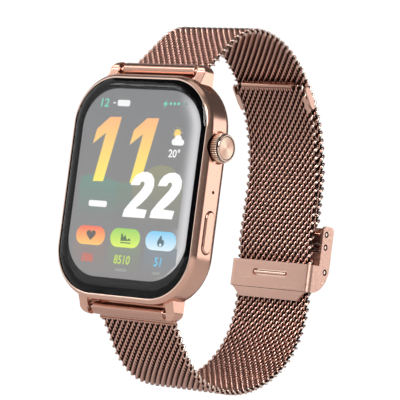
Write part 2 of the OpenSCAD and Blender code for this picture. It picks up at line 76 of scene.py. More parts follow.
def surface(m):
    return m.node_tree.nodes["Principled BSDF"]


def material(name, color, metallic=0.0, rough=0.5, **extra):
    m = bpy.data.materials.new(name)
    m.use_nodes = True
    inputs = surface(m).inputs
    inputs["Base Color"].default_value = (*color, 1)
    inputs["Metallic"].default_value = metallic
    inputs["Roughness"].default_value = rough
    for key, value in extra.items():
        inputs[key.replace("_", " ")].default_value = value
    return m


def add_node(m, kind, **values):
    """A shader node, with its inputs and settings given by name."""
    n = m.node_tree.nodes.new(kind)
    for key, value in values.items():
        if key in n.inputs.keys():
            n.inputs[key].default_value = value
        else:
            setattr(n, key, value)
    return n


def math_node(m, operation, *values):
    """A maths node whose first input stays free, and whose next inputs hold the values."""
    n = add_node(m, "ShaderNodeMath", operation=operation)
    for k, value in enumerate(values, 1):
        n.inputs[k].default_value = value
    return n


def link(m, a, out, b, into):
    m.node_tree.links.new(a.outputs[out], b.inputs[into])


def brushed(m, stretch, amount, rough_low, rough_high, bump=0.0):
    """Fine brush lines: stretched noise varies the roughness and, a little, the height."""
    coord = add_node(m, "ShaderNodeTexCoord")
    mapping = add_node(m, "ShaderNodeMapping", Scale=stretch)
    noise = add_node(m, "ShaderNodeTexNoise", Scale=amount, Detail=6.0, Roughness=0.65)
    spread = add_node(m, "ShaderNodeMapRange")
    limits = {"From Min": 0.3, "From Max": 0.7, "To Min": rough_low, "To Max": rough_high}
    for key, value in limits.items():
        spread.inputs[key].default_value = value
    link(m, coord, "Object", mapping, "Vector")
    link(m, mapping, "Vector", noise, "Vector")
    link(m, noise, "Fac", spread, "Value")
    link(m, spread, "Result", surface(m), "Roughness")
    if bump:
        raised = add_node(m, "ShaderNodeBump", Strength=bump, Distance=0.00002)
        link(m, noise, "Fac", raised, "Height")
        link(m, raised, "Normal", surface(m), "Normal")
    return m


def turned_sheen(m, centre, phase, dark, light):
    """A turned disc's bow-tie sheen, painted into its colour: the tint goes round twice with the angle about
    the X axis.
    """
    coord = add_node(m, "ShaderNodeTexCoord")
    shift = add_node(m, "ShaderNodeMapping", Location=(0, -centre[0] * MM, -centre[1] * MM))
    split = add_node(m, "ShaderNodeSeparateXYZ")
    angle = math_node(m, "ARCTAN2")
    twice = math_node(m, "MULTIPLY_ADD", 2.0, phase)
    wave = math_node(m, "COSINE")
    share = math_node(m, "MULTIPLY_ADD", 0.5, 0.5)
    ramp = add_node(m, "ShaderNodeValToRGB")
    ramp.color_ramp.elements[0].color = (*dark, 1)
    ramp.color_ramp.elements[1].color = (*light, 1)
    link(m, coord, "Object", shift, "Vector")
    link(m, shift, "Vector", split, "Vector")
    link(m, split, "Z", angle, 0)
    link(m, split, "Y", angle, 1)
    link(m, angle, "Value", twice, 0)
    link(m, twice, "Value", wave, 0)
    link(m, wave, "Value", share, 0)
    link(m, share, "Value", ramp, "Fac")
    link(m, ramp, "Color", surface(m), "Base Color")


ROSE = (0.82, 0.48, 0.37)
CLASP_ROSE = (0.84, 0.53, 0.43)
BRUSH_LINES = (90, 1800, 1800)
BACK_BLACK = (0.020, 0.019, 0.020)
FINISH = {
    "case": brushed(material("satin_case", ROSE, 1.0, 0.2), (1, 1, 1), 900, 0.19, 0.21),
    "rim": material("polished_rim", (0.90, 0.66, 0.55), 1.0, 0.08),
    "clasp": brushed(material("brushed_clasp", CLASP_ROSE, 1.0, 0.36), BRUSH_LINES, 1.0, 0.24, 0.50, 0.4),
    "wire": material("mesh_wire", (0.72, 0.43, 0.35), 1.0, 0.20),
    # The edge loops are the same wire as the weave, made paler: a painted highlight.
    "edge_wire_painted_highlight": material("edge_wire_painted_highlight", (0.94, 0.72, 0.62), 1.0, 0.22),
    # A near-black sheet inside the weave: painted shade between the wires.
    "painted_shade_sheet": material("mesh_shadow", (0.014, 0.007, 0.005), 0.2, 0.7, Specular_IOR_Level=0.1),
    # The end tubes and the tail's crimp: the strap's rose metal darkened, as painted shade.
    "tube": material("tube_with_painted_shade", (0.62, 0.36, 0.28), 1.0, 0.24),
    "crown": material("knurled_crown", (0.92, 0.68, 0.54), 1.0, 0.30),
    "cap": material("turned_cap", (0.90, 0.66, 0.52), 1.0, 0.3, Anisotropic=0.85),
    "steel": material("plain_steel", (0.62, 0.60, 0.58), 1.0, 0.28),
    "pin": material("rose_pin", (0.86, 0.62, 0.52), 1.0, 0.18),
    "black": material("black_ink", (0.002, 0.002, 0.0025), 0.0, 0.5, Specular_IOR_Level=0.0),
    # Near black: painted shade in recesses, grooves, the button's slot and round pressed-in bars.
    "gap": material("shaded_gap", (0.020, 0.010, 0.008), 0.2, 0.6, Specular_IOR_Level=0.1),
    "rubber": material("seal_rubber", (0.012, 0.012, 0.012), 0.0, 0.7),
    "back": brushed(material("back_plastic", BACK_BLACK, 0.0, 0.45), (1, 1, 1), 2500, 0.40, 0.52),
    "sensor": material("sensor_glass", (0.006, 0.006, 0.009), 0.0, 0.06, Coat_Weight=0.6),
    "board": material("circuit_board", (0.010, 0.07, 0.035), 0.0, 0.45),
    "gold": material("contact_gold", (0.95, 0.72, 0.36), 1.0, 0.2),
    "foil": material("cell_foil", (0.70, 0.71, 0.73), 0.9, 0.4),
    "plastic": material("black_plastic", (0.02, 0.02, 0.021), 0.0, 0.5),
    "glass": material("cover_glass", (1, 1, 1), 0.0, 0.0, Transmission_Weight=1.0, IOR=1.32),
    "picture": material("screen_picture", (0.0, 0.0, 0.0), 0.0, 0.6, Emission_Strength=1.0),
}
round_axis = add_node(FINISH["cap"], "ShaderNodeTangent", direction_type="RADIAL", axis="X")
link(FINISH["cap"], round_axis, "Tangent", surface(FINISH["cap"]), "Tangent")
point_color = add_node(FINISH["picture"], "ShaderNodeVertexColor", layer_name="paint")
link(FINISH["picture"], point_color, "Color", surface(FINISH["picture"]), "Emission Color")


# ---------------------------------------------------------------- mesh helpers


def new_object(name, verts, faces, mats, face_mats=None, smooth_angle=35):
    """A piece from points in millimetres. Its edges stay sharp past the smooth angle, in degrees."""
    mesh = bpy.data.meshes.new(name)
    mesh.from_pydata([tuple(c * MM for c in v) for v in verts], [], faces)
    for m in mats if isinstance(mats, (list, tuple)) else [mats]:
        mesh.materials.append(m)
    if face_mats is not None:
        mesh.polygons.foreach_set("material_index", face_mats)
    mesh.validate()
    mesh.shade_smooth()
    mesh.set_sharp_from_angle(angle=math.radians(smooth_angle))
    o = bpy.data.objects.new(name, mesh)
    bpy.context.scene.collection.objects.link(o)
    return o


def array_object(name, verts, quads, mat):
    """A smooth piece from numpy arrays of points (millimetres) and quads."""
    mesh = bpy.data.meshes.new(name)
    mesh.vertices.add(len(verts))
    mesh.vertices.foreach_set("co", (verts * MM).astype(np.float32).ravel())
    mesh.loops.add(quads.size)
    mesh.loops.foreach_set("vertex_index", quads.astype(np.int32).ravel())
    mesh.polygons.add(len(quads))
    mesh.polygons.foreach_set("loop_start", np.arange(0, quads.size, 4, dtype=np.int32))
    mesh.update(calc_edges=True)
    mesh.validate()
    mesh.materials.append(mat)
    mesh.shade_smooth()
    o = bpy.data.objects.new(name, mesh)
    bpy.context.scene.collection.objects.link(o)
    return o


def settle(o, body, slot, *nodes):
    """Puts a finished piece on its body, in place of the CAD nodes. Its slot is not used."""
    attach(o, body)
    if nodes:
        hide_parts(*nodes)
    return o


def apply_modifiers(o):
    bpy.context.view_layer.update()
    done = bpy.data.meshes.new_from_object(o.evaluated_get(bpy.context.evaluated_depsgraph_get()))
    old = o.data
    o.modifiers.clear()
    o.data = done
    bpy.data.meshes.remove(old)


def cut(o, cutter):
    m = o.modifiers.new("cut", "BOOLEAN")
    m.operation = "DIFFERENCE"
    m.solver = "EXACT"
    m.object = cutter
    apply_modifiers(o)
    bpy.data.objects.remove(cutter)


def soften(o, width, segments):
    """Rounds every sharp edge by width millimetres."""
    bevel = o.modifiers.new("bevel", "BEVEL")
    bevel.width = width * MM
    bevel.segments = segments
    bevel.limit_method = "ANGLE"
    bevel.angle_limit = math.radians(35)
    bevel.use_clamp_overlap = True
    apply_modifiers(o)
    even_shading(o, 40)


def even_shading(o, sharp_angle):
    """Smooth shading that keeps flat faces flat."""
    o.data.shade_smooth()
    o.data.set_sharp_from_angle(angle=math.radians(sharp_angle))
    o.modifiers.new("normals", "WEIGHTED_NORMAL").keep_sharp = True


def dressed(node, mat, width, segments):
    """A copy of a CAD node with its flat faces joined and its edges rounded."""
    o = bpy.data.objects.new(node + "_finished", NODES[node].data.copy())
    bpy.context.scene.collection.objects.link(o)
    bm = bmesh.new()
    bm.from_mesh(o.data)
    bmesh.ops.remove_doubles(bm, verts=bm.verts, dist=1e-6)
    bmesh.ops.dissolve_limit(bm, angle_limit=math.radians(0.6), verts=bm.verts, edges=bm.edges)
    bm.to_mesh(o.data)
    bm.free()
    for attribute in [a.name for a in o.data.attributes if a.name == "custom_normal"]:
        o.data.attributes.remove(o.data.attributes[attribute])
    o.data.materials.clear()
    o.data.materials.append(mat)
    soften(o, width, segments)
    return settle(o, BODY_OF[node], SLOT_OF[node], node)


# ---------------------------------------------------------------- outlines and solids


def arc(cy, cz, r, start, end, steps):
    """Points along a circle from start to end degrees, with both ends."""
    angles = [math.radians(start + (end - start) * i / steps) for i in range(steps + 1)]
    return [(cy + r * math.cos(a), cz + r * math.sin(a)) for a in angles]


def circle(cy, cz, r, n):
    return arc(cy, cz, r, 0, 360, n)[:-1]


def bridge(rings):
    """Points and faces of a solid through closed rings, which turn counterclockwise seen from the last."""
    n, last = len(rings[0]), len(rings) - 1
    faces = []
    for k in range(last):
        for i in range(n):
            j = (i + 1) % n
            faces.append((k * n + i, k * n + j, (k + 1) * n + j, (k + 1) * n + i))
    faces.append(tuple(range(n - 1, -1, -1)))
    faces.append(tuple(range(last * n, (last + 1) * n)))
    return [point for ring in rings for point in ring], faces


def ring_x(x, outline):
    return [(x, y, z) for y, z in outline]


def prism(outline, x0, x1):
    """An outline in (y, z), counterclockwise, extruded along X."""
    return bridge([ring_x(x0, outline), ring_x(x1, outline)])


def turned_x(profile, y, z, n):
    """A solid turned about an axis along X, from pairs of place and radius."""
    return bridge([ring_x(x, circle(y, z, r, n)) for x, r in profile])


def cylinder_x(x0, x1, y, z, r, n=64, chamfer=0.0):
    """A cylinder along X, with chamfered ends if a chamfer is given."""
    if not chamfer:
        return turned_x([(x0, r), (x1, r)], y, z, n)
    ends = [(x0, r - chamfer), (x0 + chamfer, r), (x1 - chamfer, r), (x1, r - chamfer)]
    return turned_x(ends, y, z, n)


def join(parts):
    verts, faces = [], []
    for v, f in parts:
        faces += [tuple(i + len(verts) for i in face) for face in f]
        verts += list(v)
    return verts, faces


# ---------------------------------------------------------------- sizes, in millimetres

# Half widths, half heights and corner radii of the case and the glass, and the glass's highest point
CASE_HW, CASE_HH, CASE_R = 20.2, 25.8, 11.9
GLASS_HW, GLASS_HH, GLASS_R, GLASS_TOP = 18.95, 24.57, 10.8, 10.8
CORNER_STEPS = 28
# The line along the case side that the crown, the microphone and the button are on, and their places
SIDE_Y = -5.9
CROWN_Z, MIC_Z, BUTTON_Z = 10.4, 0.4, -8.65
SPEAKER_Z, SPEAKER_PITCH, SPEAKER_HOLES = 3.2, 2, 5
CROWN_R, CROWN_TEETH, CROWN_GROOVE = 3.4, 40, 0.40
# The button's end radius, half the distance between its ends' centres, and the gap round it
BUTTON_R, BUTTON_HALF, BUTTON_GAP = 1.55, 3.2, 0.2
# The spring bars' axis, the end tubes round it, and the lugs that hold it
BAR_Y, BAR_Z = -4.6, 27.5
TUBE_R, TUBE_HALF = 1.5, 10.4
LUG_R, LUG_OUT, LUG_TOP, LUG_ROUND = 1.62, 13.9, 29.1, 2.3


def rounded_ring(hw, hh, r, per_corner=20):
    """Points of a rounded rectangle, counterclockwise."""
    pts = []
    for k in range(4):
        cx = (hw - r) * (1 if k in (0, 3) else -1)
        cy = (hh - r) * (1 if k < 2 else -1)
        pts += arc(cx, cy, r, 90 * k, 90 * k + 90, per_corner)
    return pts


def loft(profile, hw, hh, r, closed=False, per_corner=20):
    """Sweeps a profile of (inset, depth) round a rounded rectangle. Depth runs towards the screen."""
    verts, faces = [], []
    for inset, depth in profile:
        for x, z in rounded_ring(hw - inset, hh - inset, max(r - inset, 0.2), per_corner):
            verts.append((x, -depth, z))
    n = 4 * (per_corner + 1)
    rows = len(profile)
    for k in range(rows if closed else rows - 1):
        a, b = k * n, ((k + 1) % rows) * n
        for i in range(n):
            j = (i + 1) % n
            faces.append((a + i, b + i, b + j, a + j))
    return verts, faces, n


# ---------------------------------------------------------------- case


def lug(side, end):
    """One lug, drawn for the +X, +Z corner: a rounded arm, and a web that flares into the case."""
    outline = [(-7.8, 23.6), (-2.95, 23.6)] + arc(BAR_Y, BAR_Z, LUG_R, 5, 210, 12)[:-1]
    rings = []
    for x in (11.5, 11.6, 12.0, 12.4, 12.8, 13.1, 13.35, 13.6, 13.78, 13.88, LUG_OUT):
        past = max(x - (LUG_OUT - LUG_ROUND), 0)
        top = LUG_TOP - LUG_ROUND + math.sqrt(max(LUG_ROUND**2 - past**2, 0))
        rings.append([(x, y, min(z, top)) for y, z in outline])
    flare = [(x, z) for z, x in arc(26.85, 10.55, 1.0, 180, 90, 8)]
    shape = [(11.9, 24.6), (11.9, 26.9)] + flare[::-1] + [(10.55, 24.6)]
    web = [[(x, y, z) for x, z in shape] for y in (-3.3, -6.3)]
    verts, faces = join([bridge(rings), bridge(web)])
    verts = [(x * side, y, z * end) for x, y, z in verts]
    if side * end < 0:
        faces = [tuple(reversed(f)) for f in faces]
    return verts, faces


def case_cutters():
    """The crown's recess and bore, the microphone and speaker holes, the button's slot and the hollows
    round the end tubes."""
    inside, outside = 17, 22
    yield cylinder_x(19.3, outside, SIDE_Y, CROWN_Z, CROWN_R + 0.32, 96)
    yield cylinder_x(inside, outside, SIDE_Y, CROWN_Z, 1.6, 48)
    yield cylinder_x(inside, outside, SIDE_Y, MIC_Z, 0.4, 32)
    for i in range(SPEAKER_HOLES):
        yield cylinder_x(-outside, -inside, SIDE_Y, SPEAKER_Z + SPEAKER_PITCH * i, 0.45, 32)
    yield prism(button_outline(BUTTON_GAP, 16), inside, outside)
    for end in (-1, 1):
        yield cylinder_x(-11.5, 11.5, BAR_Y, end * BAR_Z, 2.5, 96)


def build_case():
    # Pairs of inset and depth: the rear edge, the front edge, the polished rim and the inner wall.
    rear = [(3 - y, 4.4 - z) for y, z in arc(0, 0, 3, 0, 90, 10)]
    front = [(0.80, 9.985), (0.745, 9.94), (0.66, 9.85), (0.36, 9.50), (0.22, 9.32)]
    front += [(0.11, 9.12), (0.03, 8.85), (0.0, 8.5)]
    rim = [(1.16, 9.90), (1.13, 9.965), (1.06, 10.0), (0.88, 10.0)]
    inside = [(3.32, 1.4), (3.4, 1.46), (3.4, 2.1), (4.6, 2.1), (4.6, 3.2), (1.9, 3.2)]
    profile = [(1.9, 8.8), (1.16, 8.8)] + rim + front + rear + inside
    verts, faces, n = loft(profile, CASE_HW, CASE_HH, CASE_R, closed=True, per_corner=CORNER_STEPS)
    marks = [1 if 2 <= f // n < 2 + len(rim) else 0 for f in range(len(faces))]
    sharp_angle = 28
    shell = new_object("case_shell", verts, faces, [FINISH["case"], FINISH["rim"]], marks, sharp_angle)
    for solid in case_cutters():
        cut(shell, new_object("cutter", *solid, FINISH["case"]))
    even_shading(shell, sharp_angle)
    settle(shell, "case", "case_metal", "case_frame")

    lugs = join([lug(side, end) for side in (-1, 1) for end in (-1, 1)])
    lugs = new_object("case_lugs", *lugs, FINISH["case"])
    soften(lugs, 0.3, 3)
    settle(lugs, "case", "case_metal")

    # A thin bar behind each end tube.
    stops = []
    for z in (24.5, -26.0):
        stops.append(prism([(-2.95, z), (-2.45, z), (-2.45, z + 1.5), (-2.95, z + 1.5)], -11.6, 11.6))
    settle(new_object("strap_stops", *join(stops), FINISH["case"]), "case", "case_metal")


def build_glass():
    """A flat glass whose outer edge bends back. The loft runs outward, so its faces are turned round."""
    bend, edge, steps = 4.8, 2.8, 14
    top = []
    for i in range(steps + 1):
        inset = edge * i / steps
        top.append((inset, GLASS_TOP - bend + math.sqrt(bend * bend - (edge - inset) ** 2)))
    profile = [(1.9, 9.02), (0.05, 9.02), (0.0, 9.08)] + top
    verts, faces, n = loft(profile, GLASS_HW, GLASS_HH, GLASS_R, per_corner=CORNER_STEPS)
    last = len(profile) - 1
    faces = [tuple(reversed(f)) for f in faces]
    faces.append(tuple(range(last * n, (last + 1) * n)))
    faces.append(tuple(range(n - 1, -1, -1)))
    # The printed border is the glass's lower edge.
    marks = [1 if f // n < 3 else 0 for f in range(len(faces))]
    o = new_object("clear_cover", verts, faces, [FINISH["glass"], FINISH["black"]], marks, 40)
    settle(o, "case", "black_glass", "cover_glass")


# ---------------------------------------------------------------- lit screen


class Picture:
    """Flat coloured shapes on the screen. Points are (x, z) in millimetres."""

    def __init__(self):
        self.verts, self.faces, self.colors, self.depth = [], [], [], 8.93

    def layer(self):
        self.depth += 0.004

    def add_points(self, pts, color):
        """Adds points with one colour, or with a colour for each, and gives the first one's number."""
        start = len(self.verts)
        for x, z in pts:
            self.verts.append((x, -self.depth, z))
            self.colors.append(color(x, z) if callable(color) else color)
        return start

    def shape(self, pts, color):
        start = self.add_points(pts, color)
        area = sum(a[0] * b[1] - b[0] * a[1] for a, b in zip(pts, pts[1:] + pts[:1]))
        order = list(range(start, start + len(pts)))
        self.faces.append(tuple(order if area > 0 else reversed(order)))

    def band(self, outer, inner, outer_color, inner_color):
        """A closed strip between two outlines with the same number of points."""
        start, n = self.add_points(outer, outer_color), len(outer)
        self.add_points(inner, inner_color)
        for i in range(n):
            j = (i + 1) % n
            self.faces.append((start + i, start + j, start + n + j, start + n + i))


def vertical(z_low, low, z_high, high):
    """A colour that runs from low at z_low to high at z_high."""

    def color(x, z):
        t = min(1, max(0, (z - z_low) / (z_high - z_low)))
        return tuple(a + (b - a) * t for a, b in zip(low, high))

    return color


def round_box(x0, x1, z0, z1, r, n=8):
    hw, hh = (x1 - x0) / 2, (z1 - z0) / 2
    return [(x + (x0 + x1) / 2, z + (z0 + z1) / 2) for x, z in rounded_ring(hw, hh, r, n)]


def numbers(picture, text, x, z, height, color, width, slant, weight):
    """Plain figures as flat shapes, with their lower left corner at (x, z). Width and slant are shares."""
    curve = bpy.data.curves.new("figures", "FONT")
    curve.body = text
    curve.size = 1.0
    curve.offset = weight
    curve.resolution_u = 4
    o = bpy.data.objects.new("figures", curve)
    bpy.context.scene.collection.objects.link(o)
    bpy.context.view_layer.update()
    mesh = bpy.data.meshes.new_from_object(o.evaluated_get(bpy.context.evaluated_depsgraph_get()))
    co = [v.co.copy() for v in mesh.vertices]
    left = min(c.x for c in co)
    scale = height / max(c.y for c in co)
    for p in mesh.polygons:
        corners = [co[i] for i in p.vertices]
        pts = [(x + scale * ((c.x - left) * width + slant * c.y), z + scale * c.y) for c in corners]
        picture.shape(pts, color)
    bpy.data.objects.remove(o)
    bpy.data.meshes.remove(mesh)


GREY = srgb(128, 129, 131)
WHITE = srgb(250, 250, 250)
TEAL = srgb(120, 214, 186)
SCREEN_HW, SCREEN_TOP, SCREEN_LOW, SCREEN_R = 17.0, 22.25, -20.75, 9.2
HILL_LOW, CARD_LOW = -8.6, -19.6
backdrop = vertical(-20, srgb(140, 138, 138), 20, GREY)


def with_painted_reflection(strength):
    """The backdrop with a painted reflection: a pale sheen that grows towards the screen's right edge."""

    def color(x, z):
        side = min(1, max(0, (x - 9.5) / 6.0))
        share = strength * side * side * (3 - 2 * side)
        return tuple(c + (w - c) * share for c, w in zip(backdrop(x, z), srgb(236, 236, 238)))

    return color


def draw_backdrop(pic):
    middle, hh = (SCREEN_TOP + SCREEN_LOW) / 2, (SCREEN_TOP - SCREEN_LOW) / 2
    # Inset from the screen's edge, and strength of the painted reflection there.
    sheen = [(0.0, 0.35), (0.35, 0.55), (0.9, 0.70), (1.5, 0.58), (2.2, 0.33), (3.0, 0.14), (4.0, 0.03)]
    sheen.append((5.0, 0.0))
    rings = []
    for inset, _ in sheen:
        ring = rounded_ring(SCREEN_HW - inset, hh - inset, max(SCREEN_R - inset, 0.5), 16)
        rings.append([(x, z + middle) for x, z in ring])
    for k in range(len(sheen) - 1):
        pic.band(rings[k], rings[k + 1], with_painted_reflection(sheen[k][1]), with_painted_reflection(sheen[k + 1][1]))
    pic.shape(rings[-1], backdrop)


def fading(low_z, high_z, tint):
    """A tint that fades down into the backdrop."""
    return lambda x, z: vertical(low_z, backdrop(x, z), high_z, tint)(x, z)


def draw_hills(pic):
    hill = [(-15.6, 1.6), (-13.4, 2.2), (-10.9, 2.3), (-8.3, 1.9), (-6.0, 1.2), (-3.8, 0.8), (-1.8, 0.8)]
    hill += [(-0.2, 1.2), (0.6, HILL_LOW), (-15.6, HILL_LOW)]
    pic.shape(hill, fading(HILL_LOW, 2.2, srgb(116, 148, 138)))
    dune = [(-4.2, 0.9), (-1.0, 0.9), (1.4, 2.0), (3.5, 3.9), (5.5, 5.0), (7.9, 5.45), (10.4, 5.0)]
    dune += [(12.6, 3.6), (14.4, 1.4), (14.4, HILL_LOW), (-4.2, HILL_LOW)]
    pic.shape(dune, fading(HILL_LOW, 5.4, srgb(150, 150, 124)))


def draw_cards(pic):
    """Faint cards under the three counters. The outer two follow the screen's round corners."""
    bend = [(15.1, -13.0), (15.1, -16.6), (14.0, -17.8), (12.9, -18.8), (11.5, CARD_LOW)]
    left = [(-x, z) for x, z in bend] + [(-5.6, CARD_LOW), (-5.6, -13.0)]
    middle = [(-4.7, -13.0), (-4.7, CARD_LOW), (4.6, CARD_LOW), (4.6, -13.0)]
    right = [(5.8, -13.0), (5.8, CARD_LOW)] + bend[::-1]
    tints = srgb(150, 136, 132), srgb(137, 148, 130), srgb(134, 145, 154)
    for outline, tint in zip((left, middle, right), tints):
        pic.shape(outline, vertical(CARD_LOW, backdrop(0, -19), -13.5, tint))


def draw_time(pic):
    one = [(0, 14.9), (3.4, 15.0), (0.3, 0.1), (-2.8, 0), (-0.7, 11.2), (-4.2, 8.6), (-3.5, 12.0)]
    for dx, dz in ((-9.2, 0.8), (1.7, 0.9)):
        warm = vertical(1.0, srgb(255, 240, 112), 15.9, srgb(255, 188, 134))
        pic.shape([(x + dx, z + dz) for x, z in one], warm)
    pic.layer()
    two = [(0, 0), (0.5, 1.3), (1.4, 2.4), (2.8, 3.1), (4.4, 3.25), (5.8, 2.8), (6.7, 1.6), (6.85, 0.2)]
    two += [(6.4, -1.2), (5.2, -2.7), (3.7, -4.1), (2.35, -5.15), (5.65, -5.3), (5.25, -7.2), (-1.25, -7.25)]
    two += [(-0.95, -5.65), (0.5, -3.9), (2.0, -2.3), (3.4, -0.8), (3.95, 0.1), (4.0, 0.75), (3.5, 1.0)]
    two += [(3.0, 0.85), (2.6, 0.1)]
    for dx, dz in ((-0.7, 0.45), (7.2, 0.65)):
        pic.shape([(x + dx, z + dz) for x, z in two], srgb(255, 255, 255))


def draw_top_line(pic):
    """The day's figures, a bar in place of the month, the charge sign and its dots."""
    numbers(pic, "12", -12.5, 18.0, 1.9, TEAL, 1.1, 0.10, 0.02)
    pic.shape(round_box(-8.9, -8.1, 18.8, 19.1, 0.12), srgb(240, 240, 240))
    pic.shape(round_box(-7.6, -3.9, 18.25, 19.7, 0.45), srgb(244, 244, 244))
    pic.shape([(6.8, 20.1), (5.6, 19.0), (6.3, 19.05), (6.0, 18.2), (7.2, 19.4), (6.5, 19.35)], TEAL)
    for i, share in enumerate((1.0, 1.0, 1.0, 0.25, 0.2)):
        tone = tuple(g + (t - g) * share for g, t in zip(GREY, TEAL))
        pic.shape(circle(7.9 + 1.12 * i, 19.3 + 0.02 * i, 0.36, 20), tone)


def draw_weather(pic):
    """The sun behind a cloud, the degrees, and a bar in place of the weekday."""
    sun_x, sun_z = 10.9, 12.7
    for i in range(8):
        a = math.radians(45 * i + 10)
        c, s = math.cos(a), math.sin(a)
        ray = []
        for out, side in ((1.15, 0.1), (1.15, -0.1), (1.6, 0)):
            ray.append((sun_x + out * c - side * s, sun_z + out * s + side * c))
        pic.shape(ray, srgb(250, 218, 130))
    pic.shape(circle(sun_x, sun_z, 0.95, 40), srgb(250, 214, 120))
    pic.layer()
    for x, z, r in ((10.3, 10.75, 0.75), (11.3, 11.3, 1.05), (12.4, 10.7, 0.7)):
        pic.shape(circle(x, z, r, 40), WHITE)
    pic.shape([(10.3, 10.0), (12.4, 10.0), (12.4, 11.0), (10.3, 11.0)], WHITE)
    numbers(pic, "20°", 9.0, 7.3, 1.85, WHITE, 0.98, 0.05, 0.02)
    pic.shape(round_box(-12.3, -6.9, -4.95, -3.55, 0.45), WHITE)


def draw_counters(pic):
    """Three pills, each with a sign on it and its figures below, and bars in place of the tiny words."""
    pills = [(-14.8, -6.2, srgb(255, 205, 120), srgb(246, 120, 98)),
             (-4.6, 4.1, srgb(226, 246, 108), srgb(160, 214, 106)),
             (5.7, 14.5, srgb(226, 244, 252), srgb(132, 208, 246))]
    for x0, x1, low, high in pills:
        pic.shape(round_box(x0, x1, -13.7, -9.4, 2.1), vertical(-13.7, low, -9.6, high))
    pic.layer()
    heart = []
    for i in range(28):
        t = 2 * math.pi * i / 28
        tall = 13 * math.cos(t) - 5 * math.cos(2 * t) - 2 * math.cos(3 * t) - math.cos(4 * t)
        heart.append((-10.4 + 0.085 * 16 * math.sin(t) ** 3, -11.4 + 0.085 * tall))
    pic.shape(heart, srgb(104, 98, 96))
    chart = [(-1.5, -12.3), (-1.5, -10.6), (-1.1, -10.6), (-0.75, -11.4), (-0.3, -10.8), (0.35, -11.9)]
    chart += [(1.0, -11.5), (1.5, -12.1)]
    base = [(-1.5, -12.75), (1.5, -12.75), (1.5, -12.5), (-1.5, -12.5)]
    for outline in (chart, base):
        pic.shape(outline, srgb(96, 122, 88))
    flame = [(10.1, -10.2), (9.6, -10.9), (9.15, -11.6), (9.1, -12.2), (9.5, -12.75), (10.1, -12.95)]
    flame += [(10.7, -12.75), (11.1, -12.2), (11.0, -11.5), (10.65, -11.1), (10.45, -11.5), (10.3, -10.8)]
    pic.shape(flame, srgb(84, 108, 122))
    pic.layer()
    pic.shape(circle(10.1, -12.45, 0.38, 16), srgb(214, 236, 246))
    numbers(pic, "086", -12.4, -17.5, 1.9, srgb(222, 112, 94), 0.9, 0.08, 0.022)
    numbers(pic, "8510", -2.8, -17.4, 1.95, srgb(196, 222, 104), 0.86, 0.08, 0.022)
    numbers(pic, "51", 8.9, -17.2, 1.95, srgb(112, 198, 236), 0.9, 0.08, 0.022)
    for x0, x1 in ((-2.1, 1.4), (8.8, 11.0)):
        pic.shape(round_box(x0, x1, -19.1, -18.5, 0.25), srgb(158, 160, 156))


def build_screen():
    pic = Picture()
    draw_backdrop(pic)
    pic.layer()
    draw_hills(pic)
    draw_cards(pic)
    pic.layer()
    draw_time(pic)
    draw_top_line(pic)
    draw_weather(pic)
    draw_counters(pic)

    mesh = bpy.data.meshes.new("lit_picture")
    mesh.from_pydata([tuple(c * MM for c in v) for v in pic.verts], [], pic.faces)
    paint = mesh.color_attributes.new("paint", "FLOAT_COLOR", "POINT")
    flat = np.ones((len(pic.verts), 4), np.float32)
    flat[:, :3] = pic.colors
    paint.data.foreach_set("color", flat.ravel())
    mesh.materials.append(FINISH["picture"])
    o = bpy.data.objects.new("lit_picture", mesh)
    bpy.context.scene.collection.objects.link(o)
    settle(o, "case", "screen", "display_panel")

    edge = [(0.1, 8.80), (0.02, 8.86), (0.02, 9.9), (-0.03, 9.92), (-0.03, 8.7)]
    wall = loft(edge, GLASS_HW, GLASS_HH, GLASS_R)[:2]
    sheet = [(x, -8.915, z) for x, z in rounded_ring(GLASS_HW - 0.02, GLASS_HH - 0.02, GLASS_R, 20)]
    border = join([wall, (sheet, [tuple(range(len(sheet)))])])
    settle(new_object("black_border", *border, FINISH["black"]), "case", "screen")


# ---------------------------------------------------------------- crown and button


